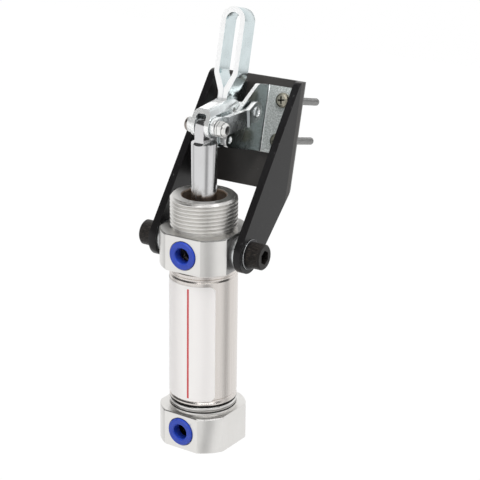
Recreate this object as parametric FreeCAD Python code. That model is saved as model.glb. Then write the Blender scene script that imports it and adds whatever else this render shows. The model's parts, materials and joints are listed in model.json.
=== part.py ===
import FreeCAD, Part
import os
from math import asin, atan2, cos, degrees, hypot, pi, radians, sin

# Pneumatic toggle clamp: a small double-acting cylinder hangs on a trunnion in a folded bracket and
# works a four-bar toggle that swings a slotted clamp arm.
# Everything is drawn with the trunnion axis along X through the origin, the bracket plate standing
# at +Y and Z up along the plate. The last step moves it so that the origin is the middle of the
# screw pattern on the plate's back face.

# Pivots of the linkage, as Y and Z from the trunnion
ARM_PIVOT = (-1.0, 41.7)
YOKE_PIVOT = (2.1, 53.1)
LINK_PIVOT = (11.9, 53.1)
ROD_PIVOT = (-11.7, 46.0)

# Bracket
SHEET = 3.05             # thickness of the folded sheet
PLATE_BACK = 28.3        # Y of the plate's back face
PLATE_BOTTOM = 24.5
PLATE_TOP = 67.0
EYE_R = 7.6              # round end of each side arm about the trunnion
EYE_HOLE_R = 4.6
FOLD_R = 3.6             # outer radius of the folds
ARM_CORNER_R = 4.2       # round upper corner of each side arm
ARM_TIP_Y = 20.2         # where the side arms' upper edge begins

# Screw pattern through flanges and plate
SCREW_X = 13.0
SCREW_Z = 50.7
SCREW_PITCH = 16.0
SCREW_R = 1.5
SCREW_NECK_R = 1.38      # plain shank inside flange and plate, thinner than the thread
SCREW_HEAD_R = 2.95
SCREW_HEAD_H = 2.1
STUD_LENGTH = 23.7       # how far the screws stand out behind the plate

# Webs
WEB_SHEET = 1.6
WEB_INSIDE = 4.1         # X of the inner face of each web
WEB_BOTTOM = 37.4
WEB_TOP = 63.9
WEB_NOSE_R = 2.9         # round end about the arm pivot
WEB_TIP_Y = 16.6         # Y of the webs' round upper corner
WEB_TIP_R = 2.5          # its radius
WEB_KNEE = (3.9, 51.9)   # bend in the webs' front edge
WEB_KNEE_R = 1.2
FLANGE_GAP = 0.7         # from the flange's edge to the side arm
FLANGE_CORNER_R = 2.0

# Clamp arm
STRIP = 2.0              # sheet thickness of the folded strip
STRIP_WIDTH = 7.8
STRIP_FRONT = -1.3
LOOP_HALF = 5.25         # outer half width of the loop
LOOP_TOP = 92.1
LOOP_START = 66.5        # where the two sides become parallel
NECK_END = 59.0          # where the strips begin to part
ARM_ROOT_R = 3.4

# Yoke
YOKE_SHEET = 1.8
YOKE_BEND_R = 2.9        # outer radius of the yoke's two folds
YOKE_HALF = 3.95
YOKE_ROD_R = 4.0
YOKE_BACK_R = 4.1
YOKE_FRONT = (-14.3, 52.8)
YOKE_REAR = (-3.5, 56.3)

# Links, bolt and nut
LINK_SHEET = 1.9
LINK_INSIDE = 4.1        # X of the inner face at the rod end
LINK_OUTER = 5.85        # X of the inner face beside the web
LINK_R = 4.0             # round end about the link pivot
LINK_END_R = 3.5         # round end at the bolt
LINK_BAR_R = 3.42        # half width of the straight bar between them
LINK_CORNER_R = 0.9      # lower corner of the bar at the step
LINK_DROP = 1.13         # how far the bar's middle lies below the line of pivots at the step
LINK_STEP = 0.7          # how far the link's eye stands out from its bar
LINK_EYE = 5.4           # distance from the link pivot where that step is
JOGGLE_FAR = 20.45       # distance from the link pivot where the step at the bolt ends
JOGGLE_NEAR = 21.75      # and where it begins
BOLT_R = 1.5
BOLT_HEAD_R = 2.85
BOLT_HEAD_H = 1.9
BOLT_SLOT_PLAY = 0.62    # play of the bolt in the yoke's slots
BOLT_SLOT = 2.1          # length of those slots between their round ends
NUT_FLATS = 5.5
NUT_HEX_H = 2.9
NUT_H = 4.2

# Rivets
ARM_RIVET_R = 1.6
LINK_RIVET_R = 1.9
RIVET_ROLL = 0.25        # how far a rivet's rolled end stands out beyond its shank
RIVET_RISE = 0.35        # and how far it reaches past the sheet
RIVET_CUP = 0.55         # depth of the cup in a rivet's end
YOKE_RIVET_R = 1.9
YOKE_RIVET_BORE = 1.15

# Cylinder, heights along its own axis from the trunnion
BORE_R = 12.5
BARREL_WALL = 0.9
ROD_R = 5.0
CAP_FLATS = 30.5
CAP_R = 17.15
FRONT_TOP = 7.5
FRONT_HEIGHT = 14.9
NOSE_R = 13.15
NOSE_HEIGHT = 13.0       # above the front cap's block
NOSE_BORE_R = 8.5
WIPER_DEPTH = 7.0        # from the nose's rim down to the rod seal's face
ROD_SEAL_H = 3.0
BUSH_R = 7.0
BUSH_LENGTH = 7.85
BUMPER_R = 10.5
BUMPER_H = 1.6
REAR_CHAMBER_R = 7.6
REAR_HEIGHT = 15.0
REAR_TURN = -3.3         # the rear cap sits turned by this angle
NECK_GAP = 1.1           # recess between the front cap's block and the barrel
BARREL_LENGTH = 54.8
REAR_NECK = 3.7          # turned step between the barrel's end and the rear cap's block
FRONT_SPIGOT = 6.5       # how far each cap reaches into the barrel
REAR_SPIGOT = 7.3
PISTON_GAP = 2.5         # from the front cap's spigot to the piston at rest
PISTON_H = 11.0
PISTON_NUT_FLATS = 13.0
PISTON_NUT_H = 4.0
TAIL_R = 3.9             # threaded tail that carries the piston
TONGUE_LENGTH = 6.26     # from the rod pivot down to the shoulder
TONGUE_HALF = 2.0
TONGUE_R = 3.7

# Push-in ports
TUBE_R = 3.1
COLLAR_R = 5.6
COLLAR_PROUD = 0.8
SLEEVE_R = 3.95
PORT_BORE_R = 4.4
PORT_SINK_R = 5.9
PORT_SINK = 2.2

# Trunnion screws
TRUNNION_R = 3.0
TRUNNION_HEAD_R = 5.0
TRUNNION_HEAD_H = 6.0
WASHER_R = 5.9
WASHER_SHEET = 0.45
SPACER_R = 6.5
SPACER_LENGTH = 2.35     # between the front cap and each side arm
TRUNNION_DEPTH = 8.6     # X where the trunnion screws end inside the cap
SIDE_GAP = 0.1           # play between the bracket's arms and the parts beside them

# Clearances
RUN = 0.05               # radial play of pins and rods
FIT = 0.02               # radial play of parts that sit fast in each other

X = FreeCAD.Vector(1, 0, 0)
Y = FreeCAD.Vector(0, 1, 0)
Z = FreeCAD.Vector(0, 0, 1)
ZERO = FreeCAD.Vector(0, 0, 0)

rod_dy = ROD_PIVOT[0]
rod_dz = ROD_PIVOT[1]
ROD_LENGTH = hypot(rod_dy, rod_dz)
SWING = degrees(atan2(-rod_dy, rod_dz))
PLATE_FRONT = PLATE_BACK - SHEET
ARM_INSIDE = CAP_FLATS / 2 + SPACER_LENGTH + SIDE_GAP
ARM_OUTSIDE = ARM_INSIDE + SHEET
FLANGE_END = ARM_INSIDE - FLANGE_GAP
WEB_OUTSIDE = WEB_INSIDE + WEB_SHEET
BARREL_R = BORE_R + BARREL_WALL
FRONT_BOTTOM = FRONT_TOP - FRONT_HEIGHT
NOSE_TOP = FRONT_TOP + NOSE_HEIGHT
NOSE_FLOOR = NOSE_TOP - WIPER_DEPTH
SEAL_FLOOR = NOSE_FLOOR - ROD_SEAL_H
BUSH_TOP = SEAL_FLOOR - RUN
BUSH_END = BUSH_TOP - BUSH_LENGTH
BARREL_TOP = FRONT_BOTTOM - NECK_GAP
BARREL_END = BARREL_TOP - BARREL_LENGTH
FRONT_SPIGOT_END = BARREL_TOP - FRONT_SPIGOT
REAR_SPIGOT_END = BARREL_END + REAR_SPIGOT
REAR_TOP = BARREL_END - REAR_NECK
REAR_BOTTOM = REAR_TOP - REAR_HEIGHT
REAR_PORT_Z = REAR_TOP - REAR_HEIGHT / 2 + 0.1
PISTON_TOP = FRONT_SPIGOT_END - PISTON_GAP
FLATS_START = ROD_LENGTH - TONGUE_LENGTH

os.makedirs("parts", exist_ok=True)


def vec(x, y, z):
    return FreeCAD.Vector(x, y, z)


def pin_x(r, x0, x1, at=(0, 0)):
    """Round bar along X from x0 to x1."""
    return Part.makeCylinder(r, x1 - x0, vec(x0, at[0], at[1]), X)


def ring_x(r, bore, x0, x1, at=(0, 0)):
    """Ring along X."""
    return pin_x(r, x0, x1, at).cut(pin_x(bore, x0 - 1, x1 + 1, at))


def outline_face(corners, x):
    """Face at X = x round a convex outline of (y, z, r) corners, anticlockwise seen from +X."""
    n = len(corners)
    normals = []
    for i in range(n):
        y0, z0, r0 = corners[i]
        y1, z1, r1 = corners[(i + 1) % n]
        length = hypot(y1 - y0, z1 - z0)
        uy = (y1 - y0) / length
        uz = (z1 - z0) / length
        lean = asin((r0 - r1) / length)
        normals.append((uz * cos(lean) + uy * sin(lean), -uy * cos(lean) + uz * sin(lean)))
    edges = []
    for i in range(n):
        y0, z0, r0 = corners[i]
        y1, z1, r1 = corners[(i + 1) % n]
        ny, nz = normals[i]
        py, pz = normals[i - 1]
        if r0 > 0:
            start = atan2(pz, py)
            sweep = (atan2(nz, ny) - start) % (2 * pi)
            points = []
            for part in (0, 0.5, 1):
                angle = start + sweep * part
                points.append(vec(x, y0 + r0 * cos(angle), z0 + r0 * sin(angle)))
            edges.append(Part.Arc(points[0], points[1], points[2]).toShape())
        begin = vec(x, y0 + r0 * ny, z0 + r0 * nz)
        end = vec(x, y1 + r1 * ny, z1 + r1 * nz)
        edges.append(Part.makeLine(begin, end))
    return Part.Face(Part.Wire(Part.__sortEdges__(edges)))


def slab(corners, x0, x1):
    """Convex plate between X = x0 and X = x1."""
    return outline_face(corners, x0).extrude(vec(x1 - x0, 0, 0))


def turned(profile):
    """Solid of revolution about Z from (radius, height) corners."""
    points = [vec(r, 0, z) for r, z in profile]
    points.append(points[0])
    return Part.Face(Part.makePolygon(points)).revolve(ZERO, Z, 360)


def ring_z(r, bore, z0, z1, edge=0.0):
    """Ring about Z with an optional small chamfer on its outer edges."""
    if edge == 0:
        return turned([(bore, z0), (r, z0), (r, z1), (bore, z1)])
    return turned([(bore, z0), (r - edge, z0), (r, z0 + edge), (r, z1 - edge), (r - edge, z1),
                   (bore, z1)])


def hexagon(flats, length):
    """Hexagonal prism along +Z with the corners turned off at the far end."""
    corner = flats / 2 / cos(radians(30))
    points = []
    for k in range(7):
        angle = radians(60 * k)
        points.append(vec(corner * cos(angle), corner * sin(angle), 0))
    prism = Part.Face(Part.makePolygon(points)).extrude(vec(0, 0, length))
    cone = turned([(0, 0), (corner + 0.1, 0), (corner + 0.1, length - 0.35),
                   (flats / 2 - 0.05, length), (0, length)])
    return prism.common(cone)


def along_x(shape, side, x, at):
    """Lay a shape drawn along +Z so that it points to side * X, starting at x."""
    laid = shape.copy()
    laid.rotate(ZERO, Y, 90 * side)
    laid.translate(vec(x, at[0], at[1]))
    return laid


def mirrored(shape):
    return shape.mirror(ZERO, X)


def swung(shape):
    """Tilt a piece of the cylinder so that its axis runs to the rod pivot."""
    tilted = shape.copy()
    tilted.rotate(ZERO, X, SWING)
    return tilted


def turned_back(shape):
    """Turn a piece of the rear cap about the cylinder's axis."""
    copy = shape.copy()
    copy.rotate(ZERO, Z, REAR_TURN)
    return copy


def save(name, shape):
    placed = shape.copy()
    placed.translate(vec(0, -PLATE_BACK, -SCREW_Z))
    if not placed.isValid():
        raise ValueError(name + " is not a valid shape")
    placed.exportStep("parts/" + name + ".step")
    print(name, len(placed.Solids), "solid,", round(placed.Volume, 1), "mm3")


def edges_where(shape, test):
    return [edge for edge in shape.Edges if test(edge)]


def upright(edge):
    """True for straight edges along Z."""
    if len(edge.Vertexes) != 2:
        return False
    a = edge.Vertexes[0].Point
    b = edge.Vertexes[1].Point
    return abs(a.x - b.x) < 0.01 and abs(a.y - b.y) < 0.01


# Bracket: one folded sheet, a plate and two side arms that run down to the trunnion eyes

def make_bracket():
    arm_corners = [
        (0, 0, EYE_R),
        (PLATE_FRONT + 1.0, PLATE_BOTTOM, 0),
        (PLATE_BACK, PLATE_BOTTOM, 0),
        (PLATE_BACK, PLATE_TOP, 0),
        (ARM_TIP_Y + ARM_CORNER_R, PLATE_TOP - ARM_CORNER_R, ARM_CORNER_R),
    ]
    block = slab(arm_corners, -ARM_OUTSIDE, ARM_OUTSIDE)
    folds = edges_where(block, lambda e: upright(e) and e.Vertexes[0].Point.y > PLATE_BACK - 0.01)
    block = block.makeFillet(FOLD_R, folds)
    reach = 3 * EYE_R
    hollow = Part.makeBox(2 * ARM_INSIDE, PLATE_FRONT + reach, PLATE_TOP + 2 * reach,
                          vec(-ARM_INSIDE, -reach, -reach))
    corners = edges_where(hollow, lambda e: upright(e) and e.Vertexes[0].Point.y > 0)
    hollow = hollow.makeFillet(FOLD_R - SHEET, corners)
    body = block.cut(hollow)
    body = body.cut(pin_x(EYE_HOLE_R, -ARM_OUTSIDE - 1, ARM_OUTSIDE + 1))
    for x in (-SCREW_X, SCREW_X):
        for dz in (-SCREW_PITCH / 2, SCREW_PITCH / 2):
            hole = Part.makeCylinder(SCREW_R + RUN, 10, vec(x, PLATE_BACK - 6, SCREW_Z + dz), Y)
            body = body.cut(hole)
    return body


save("bracket", make_bracket())


# Webs: each is one sheet, a web in the middle folded outwards into a flange under the screws

def make_web():
    web_corners = [
        (ARM_PIVOT[0], ARM_PIVOT[1], WEB_NOSE_R),
        (PLATE_FRONT, WEB_BOTTOM, 0),
        (PLATE_FRONT, WEB_TOP, 0),
        (WEB_TIP_Y, WEB_TOP - WEB_TIP_R, WEB_TIP_R),
        (WEB_KNEE[0], WEB_KNEE[1], WEB_KNEE_R),
    ]
    web = slab(web_corners, WEB_INSIDE, WEB_OUTSIDE)
    flange = Part.makeBox(FLANGE_END - WEB_INSIDE, WEB_SHEET, WEB_TOP - WEB_BOTTOM,
                          vec(WEB_INSIDE, PLATE_FRONT - WEB_SHEET, WEB_BOTTOM))
    ends = edges_where(flange, lambda e: abs(e.Vertexes[0].Point.z - e.Vertexes[1].Point.z) < 0.01
                       and e.Vertexes[0].Point.x > FLANGE_END - 0.01
                       and e.Vertexes[1].Point.x > FLANGE_END - 0.01)
    flange = flange.makeFillet(FLANGE_CORNER_R, ends)
    body = web.fuse(flange).removeSplitter()
    outer = edges_where(body, lambda e: upright(e) and abs(e.Vertexes[0].Point.x - WEB_INSIDE) < 0.01
                        and e.Vertexes[0].Point.y > PLATE_FRONT - 0.01)
    body = body.makeFillet(WEB_SHEET + 0.6, outer)
    inner = edges_where(body, lambda e: upright(e) and abs(e.Vertexes[0].Point.x - WEB_OUTSIDE) < 0.01
                        and abs(e.Vertexes[0].Point.y - PLATE_FRONT + WEB_SHEET) < 0.01)
    body = body.makeFillet(0.6, inner)
    body = body.cut(pin_x(ARM_RIVET_R + FIT, 0, 10, ARM_PIVOT))
    body = body.cut(pin_x(LINK_RIVET_R + FIT, 0, 10, LINK_PIVOT))
    for dz in (-SCREW_PITCH / 2, SCREW_PITCH / 2):
        hole = Part.makeCylinder(SCREW_R + RUN, 10, vec(SCREW_X, PLATE_FRONT - 6, SCREW_Z + dz), Y)
        body = body.cut(hole)
    return body


web = make_web()
save("web_right", web)
save("web_left", mirrored(web))


# Flange screws: pan head with a cross recess, the shank standing out behind the plate

def make_flange_screw():
    plate_back = -(WEB_SHEET + SHEET)
    tip = plate_back - STUD_LENGTH
    rim = SCREW_HEAD_H * 0.42
    body = turned([(0, tip), (SCREW_R - 0.45, tip), (SCREW_R, tip + 0.5), (SCREW_R, plate_back),
                   (SCREW_NECK_R, plate_back), (SCREW_NECK_R, 0),
                   (SCREW_HEAD_R, 0), (SCREW_HEAD_R, rim),
                   (SCREW_HEAD_R - 0.35, SCREW_HEAD_H - 0.45),
                   (SCREW_HEAD_R - 1.0, SCREW_HEAD_H - 0.08), (0, SCREW_HEAD_H)])
    recess_depth = 1.3
    for angle in (0, 90):
        top = SCREW_HEAD_H + 0.01
        blade = Part.Face(Part.makePolygon([
            vec(-1.65, -0.32, top), vec(-0.55, -0.32, top - recess_depth),
            vec(0.55, -0.32, top - recess_depth), vec(1.65, -0.32, top), vec(-1.65, -0.32, top)]))
        cutter = blade.extrude(vec(0, 0.64, 0))
        cutter.rotate(ZERO, Z, angle)
        body = body.cut(cutter)
    return body


def make_flange_screws():
    screws = []
    for x in (-SCREW_X, SCREW_X):
        for dz in (-SCREW_PITCH / 2, SCREW_PITCH / 2):
            one = make_flange_screw()
            one.rotate(ZERO, Z, 20 + 3 * x + 5 * dz)
            one.rotate(ZERO, X, 90)
            one.translate(vec(x, PLATE_FRONT - WEB_SHEET, SCREW_Z + dz))
            screws.append(one)
    return Part.makeCompound(screws)


save("flange_screws", make_flange_screws())


# Clamp arm: one strip folded into a hairpin; its legs lie together in the neck and root

def hairpin_face(half, top, start, end, neck, foot):
    """Face in X and Z at Y = 0: round top, straight sides, then a neck of half width to the foot."""
    centre = top - half
    right = [vec(half, 0, centre), vec(half, 0, start), vec(neck, 0, end), vec(neck, 0, foot)]
    left = [vec(-p.x, 0, p.z) for p in reversed(right)]
    edges = [Part.Arc(vec(-half, 0, centre), vec(0, 0, top), vec(half, 0, centre)).toShape()]
    points = right + left
    for k in range(len(points) - 1):
        edges.append(Part.makeLine(points[k], points[k + 1]))
    return Part.Face(Part.Wire(edges))


def smooth_bends(body, radius, heights):
    """Round the bends of the folded strip that run along Y at the given heights."""
    def is_bend(edge):
        if len(edge.Vertexes) != 2:
            return False
        a = edge.Vertexes[0].Point
        b = edge.Vertexes[1].Point
        along_y = abs(a.x - b.x) < 0.01 and abs(a.z - b.z) < 0.01
        return along_y and abs(a.x) > 0.5 and min(abs(a.z - h) for h in heights) < 0.05
    return body.makeFillet(radius, edges_where(body, is_bend))


def make_clamp_arm():
    width = vec(0, 5 * STRIP_WIDTH, 0)
    outer = hairpin_face(LOOP_HALF, LOOP_TOP, LOOP_START, NECK_END, STRIP, ARM_PIVOT[1] - 8)
    outer = outer.extrude(width)
    outer = smooth_bends(outer, 5.0, (LOOP_START, NECK_END))
    leg = STRIP + 0.15
    part_z = NECK_END + 1.9
    slot = hairpin_face(LOOP_HALF - leg, LOOP_TOP - leg, LOOP_START + 0.6, part_z, 0.05, part_z - 0.2)
    slot = slot.extrude(width)
    slot = smooth_bends(slot, 4.0, (LOOP_START + 0.6,))
    body = outer.cut(slot)
    body.translate(vec(0, -2.5 * STRIP_WIDTH, 0))
    strip_back = STRIP_FRONT + STRIP_WIDTH
    bend = 1.5
    knee = YOKE_PIVOT[1] + 1.6
    upper = Part.makeBox(4 * LOOP_HALF, STRIP_WIDTH, LOOP_TOP, vec(-2 * LOOP_HALF, STRIP_FRONT, knee + 2))
    lower = slab([(ARM_PIVOT[0], ARM_PIVOT[1], ARM_ROOT_R), (strip_back - bend, knee, bend),
                  (strip_back, knee + 2.5, 0), (STRIP_FRONT, knee + 2.5, 0)], -20, 20)
    body = body.common(upper.fuse(lower).removeSplitter())
    # the seam where the two legs lie against each other shows as a fine line on the edges
    rim = 0.25
    core = slab([(ARM_PIVOT[0], ARM_PIVOT[1], ARM_ROOT_R - rim),
                 (strip_back - bend, knee, bend - rim),
                 (strip_back - rim, knee + 2.5, 0), (STRIP_FRONT + rim, knee + 2.5, 0)], -20, 20)
    core = core.fuse(Part.makeBox(40, STRIP_WIDTH - 2 * rim, 12, vec(-20, STRIP_FRONT + rim, knee + 2)))
    seam = Part.makeBox(0.12, 60, 40, vec(-0.06, -30, part_z - 39.5))
    body = body.cut(seam.cut(core))
    body = body.cut(pin_x(ARM_RIVET_R + RUN, -10, 10, ARM_PIVOT))
    return body.cut(pin_x(YOKE_RIVET_R + FIT, -10, 10, YOKE_PIVOT))


save("clamp_arm", make_clamp_arm())


# Yoke: one sheet folded over the rod's tongue and the arm's neck, open at the front

def make_yoke():
    ears = [
        (ROD_PIVOT[0], ROD_PIVOT[1], YOKE_ROD_R),
        (YOKE_PIVOT[0], YOKE_PIVOT[1], YOKE_BACK_R),
        (YOKE_REAR[0], YOKE_REAR[1], 0),
        (YOKE_FRONT[0], YOKE_FRONT[1], 0),
    ]
    block = slab(ears, -YOKE_HALF, YOKE_HALF)
    slope = atan2(YOKE_REAR[1] - YOKE_FRONT[1], YOKE_REAR[0] - YOKE_FRONT[0])
    ny = -sin(slope)
    nz = cos(slope)

    def on_top(edge):
        if len(edge.Vertexes) != 2:
            return False
        ends = [v.Point for v in edge.Vertexes]
        if abs(abs(ends[0].x) - YOKE_HALF) > 0.01 or abs(abs(ends[1].x) - YOKE_HALF) > 0.01:
            return False
        if abs(ends[0].x - ends[1].x) > 0.01:
            return False
        offs = [(p.y - YOKE_FRONT[0]) * ny + (p.z - YOKE_FRONT[1]) * nz for p in ends]
        return max(abs(offs[0]), abs(offs[1])) < 0.01

    block = block.makeFillet(YOKE_BEND_R, edges_where(block, on_top))
    inside = YOKE_HALF - YOKE_SHEET
    deep = 10 * YOKE_HALF
    hollow = Part.makeBox(2 * inside, 2 * deep, deep, vec(-inside, -deep, -deep - YOKE_SHEET))
    tops = edges_where(hollow, lambda e: len(e.Vertexes) == 2
                       and e.Vertexes[0].Point.z > -YOKE_SHEET - 0.01
                       and e.Vertexes[1].Point.z > -YOKE_SHEET - 0.01
                       and abs(e.Vertexes[0].Point.x - e.Vertexes[1].Point.x) < 0.01)
    hollow = hollow.makeFillet(YOKE_BEND_R - YOKE_SHEET, tops)
    hollow.rotate(ZERO, X, degrees(slope))
    hollow.translate(vec(0, YOKE_FRONT[0], YOKE_FRONT[1]))
    body = block.cut(hollow)
    # behind the top plate the sheet is open, so that the arm's neck can stand up between the ears
    ry, rz = YOKE_REAR
    neck = Part.makeBox(2 * inside, 30, 30, vec(-inside, 0, -15))
    neck.rotate(ZERO, X, degrees(slope))
    neck.translate(vec(0, ry, rz))
    body = body.cut(neck)
    # the bolt moves in short slots, which free the linkage as the arm swings
    slot_r = BOLT_R + BOLT_SLOT_PLAY
    slot_y = ROD_PIVOT[0] + 0.25
    slot_z = ROD_PIVOT[1] - 0.1
    slot = slab([(slot_y, slot_z, slot_r), (slot_y + BOLT_SLOT, slot_z, slot_r)], -10, 10)
    body = body.cut(slot)
    return body.cut(pin_x(YOKE_RIVET_R + RUN, -10, 10, YOKE_PIVOT))


save("yoke", make_yoke())


# Links: flat strips that step outwards to pass the webs

def along_link(distance, offset):
    """Point on the link's bar, by its distance from the link pivot and its height above the bar's middle."""
    length = hypot(LINK_PIVOT[0] - ROD_PIVOT[0], LINK_PIVOT[1] - ROD_PIVOT[1])
    uy = (ROD_PIVOT[0] - LINK_PIVOT[0]) / length
    uz = (ROD_PIVOT[1] - LINK_PIVOT[1]) / length
    return (LINK_PIVOT[0] + uy * distance + uz * offset, LINK_PIVOT[1] + uz * distance - uy * offset)


def make_link():
    ly, lz = LINK_PIVOT
    # the bar sits a little below the line between the pivots at the eye, so the eye stands up from it
    wide = LINK_OUTER + 2 * LINK_SHEET + LINK_STEP
    top = along_link(LINK_EYE, LINK_BAR_R - LINK_DROP)
    low = along_link(LINK_EYE, LINK_CORNER_R - LINK_BAR_R - LINK_DROP)
    bar = slab([(ROD_PIVOT[0] + LINK_DROP / 4, ROD_PIVOT[1] + LINK_DROP / 3, LINK_END_R),
                (low[0], low[1], LINK_CORNER_R), (top[0], top[1], 0)], 0, wide)
    root = along_link(LINK_EYE + RUN, LINK_CORNER_R / 2 - LINK_BAR_R)
    eye = slab([(ly, lz, LINK_R), (top[0], top[1], 0), (root[0], root[1], 0)], 0, wide)
    blank = bar.fuse(eye).removeSplitter()
    step = LINK_OUTER - LINK_INSIDE
    run = JOGGLE_NEAR - JOGGLE_FAR
    shift = LINK_SHEET * (hypot(step, run) - run) / step
    eye_end = LINK_EYE - LINK_STEP
    eye_x = LINK_OUTER + LINK_STEP
    lean = LINK_SHEET * (hypot(1, 1) - 1)
    near_end = -2 * LINK_R
    far_end = JOGGLE_NEAR + 4 * LINK_END_R
    side = Part.Face(Part.makePolygon([
        vec(eye_x, near_end, 0), vec(eye_x, eye_end, 0), vec(LINK_OUTER, LINK_EYE, 0),
        vec(LINK_OUTER, JOGGLE_FAR, 0), vec(LINK_INSIDE, JOGGLE_NEAR, 0),
        vec(LINK_INSIDE, far_end, 0), vec(LINK_INSIDE + LINK_SHEET, far_end, 0),
        vec(LINK_INSIDE + LINK_SHEET, JOGGLE_NEAR - shift, 0),
        vec(LINK_OUTER + LINK_SHEET, JOGGLE_FAR - shift, 0),
        vec(LINK_OUTER + LINK_SHEET, LINK_EYE + lean, 0),
        vec(eye_x + LINK_SHEET, eye_end + lean, 0), vec(eye_x + LINK_SHEET, near_end, 0),
        vec(eye_x, near_end, 0)]))
    strip = side.extrude(vec(0, 0, 8 * LINK_R))
    strip.translate(vec(0, 0, -4 * LINK_R))
    bearing = degrees(atan2(ROD_PIVOT[1] - lz, ROD_PIVOT[0] - ly))
    strip.rotate(ZERO, X, bearing)
    strip.translate(vec(0, ly, lz))
    body = blank.common(strip)
    body = body.cut(pin_x(BOLT_R + FIT, 0, wide, ROD_PIVOT))
    return body.cut(pin_x(LINK_RIVET_R + RUN, 0, wide, LINK_PIVOT))


link = make_link()
save("link_right", link)
save("link_left", mirrored(link))


# Bolt and lock nut through links, yoke and tongue

def make_bolt():
    face = LINK_INSIDE + LINK_SHEET
    head = turned([(0, 0), (BOLT_HEAD_R, 0), (BOLT_HEAD_R, BOLT_HEAD_H * 0.35),
                   (BOLT_HEAD_R - 0.25, BOLT_HEAD_H * 0.68), (BOLT_HEAD_R - 0.75, BOLT_HEAD_H * 0.92),
                   (BOLT_HEAD_R - 1.3, BOLT_HEAD_H), (0, BOLT_HEAD_H)])
    socket = hexagon(2.0, 1.1)
    socket.rotate(ZERO, X, 180)
    socket.translate(vec(0, 0, BOLT_HEAD_H))
    head = along_x(head.cut(socket), -1, -face, (0, 0))
    shank = pin_x(BOLT_R - FIT, -face - 0.5, face + NUT_H - 0.9)
    tip = edges_where(shank, lambda e: e.Vertexes[0].Point.x > face + 1)
    shank = shank.makeChamfer(0.4, [edge for edge in tip if edge.Closed])
    body = head.fuse(shank).removeSplitter()
    body.rotate(ZERO, X, SWING)
    body.translate(vec(0, ROD_PIVOT[0], ROD_PIVOT[1]))
    return body


def make_nut():
    face = LINK_INSIDE + LINK_SHEET
    collar_r = NUT_FLATS / 2 - 0.1
    collar = turned([(0, 0), (NUT_FLATS / 2 + 0.35, 0), (NUT_FLATS / 2 + 0.35, 0.35),
                     (collar_r, 0.45), (collar_r, NUT_H - 0.8), (collar_r - 0.2, NUT_H - 0.4),
                     (collar_r - 0.6, NUT_H - 0.1), (collar_r - 0.9, NUT_H), (0, NUT_H)])
    body = hexagon(NUT_FLATS, NUT_HEX_H).fuse(collar).removeSplitter()
    body = body.cut(ring_z(BOLT_R, 0, -1, NUT_H + 1))
    body.rotate(ZERO, Z, 12)
    return along_x(body, 1, face, ROD_PIVOT)


save("link_bolt", make_bolt())
save("link_nut", make_nut())


# Rivets and spacers of the fixed frame and the arm

def make_rivet(r, face, at, roll):
    """Rivet along X with cupped ends at X = face; rolled ones stand out over the sheets by RIVET_RISE."""
    end = face + RIVET_RISE if roll else face
    outline = [(0, 0), (r, 0), (r, face)]
    if roll:
        outline += [(r + roll, face), (r + roll, end - 0.12), (r + roll - 0.2, end)]
    outline += [(r - 0.2, end), (r - 0.45, end - RIVET_CUP), (0, end - RIVET_CUP)]
    half = along_x(turned(outline), 1, 0, at)
    return half.fuse(mirrored(half)).removeSplitter()


# the links sweep past the arm's rivet, so its ends are flush with the webs
save("arm_rivet", make_rivet(ARM_RIVET_R, WEB_OUTSIDE + 0.02, ARM_PIVOT, 0))

spacer = ring_x(WEB_NOSE_R - 0.6, ARM_RIVET_R + FIT, STRIP + SIDE_GAP, WEB_INSIDE, ARM_PIVOT)
save("arm_spacers", Part.makeCompound([spacer, mirrored(spacer)]))

link_face = LINK_OUTER + LINK_STEP + LINK_SHEET + SIDE_GAP
save("link_rivet", make_rivet(LINK_RIVET_R, link_face, LINK_PIVOT, RIVET_ROLL))
save("link_spacer", ring_x(3.0, LINK_RIVET_R + FIT, -WEB_INSIDE, WEB_INSIDE, LINK_PIVOT))


def make_yoke_rivet():
    half = YOKE_HALF + 0.02
    body = pin_x(YOKE_RIVET_R, -half, half, YOKE_PIVOT)
    body = body.cut(pin_x(YOKE_RIVET_BORE, -half - 1, half + 1, YOKE_PIVOT))
    return body


save("yoke_rivet", make_yoke_rivet())


# Piston rod: flattened tongue at the top, threaded tail through the piston below

def make_piston_rod():
    piston_end = PISTON_TOP - PISTON_H
    tail = piston_end - 5.5
    shoulder_r = TAIL_R
    body = turned([(0, tail), (shoulder_r - 0.6, tail), (shoulder_r, tail + 0.6),
                   (shoulder_r, PISTON_TOP), (ROD_R, PISTON_TOP),
                   (ROD_R, ROD_LENGTH + 8), (0, ROD_LENGTH + 8)])
    cheek_w = TONGUE_R + 0.15
    keep = slab([(0, ROD_LENGTH, TONGUE_R),
                 (-cheek_w, FLATS_START + 0.6, 0), (-ROD_R - 1, FLATS_START - 1.2, 0),
                 (-ROD_R - 1, tail - 10, 0), (ROD_R + 1, tail - 10, 0),
                 (ROD_R + 1, FLATS_START - 1.2, 0), (cheek_w, FLATS_START + 0.6, 0)], -20, 20)
    body = body.common(keep)
    for side in (-1, 1):
        x = TONGUE_HALF if side == 1 else -TONGUE_HALF - 20
        cheek = Part.makeBox(20, 8 * ROD_R, 8 * ROD_R, vec(x, -4 * ROD_R, FLATS_START))
        low = edges_where(cheek, lambda e: abs(e.Vertexes[0].Point.z - FLATS_START) < 0.01
                          and abs(e.Vertexes[1].Point.z - FLATS_START) < 0.01
                          and abs(abs(e.Vertexes[0].Point.x) - TONGUE_HALF) < 0.01
                          and abs(abs(e.Vertexes[1].Point.x) - TONGUE_HALF) < 0.01)
        body = body.cut(cheek.makeFillet(0.4, low))
    return body.cut(pin_x(BOLT_R + RUN, -10, 10, (0, ROD_LENGTH)))


save("piston_rod", swung(make_piston_rod()))

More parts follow.
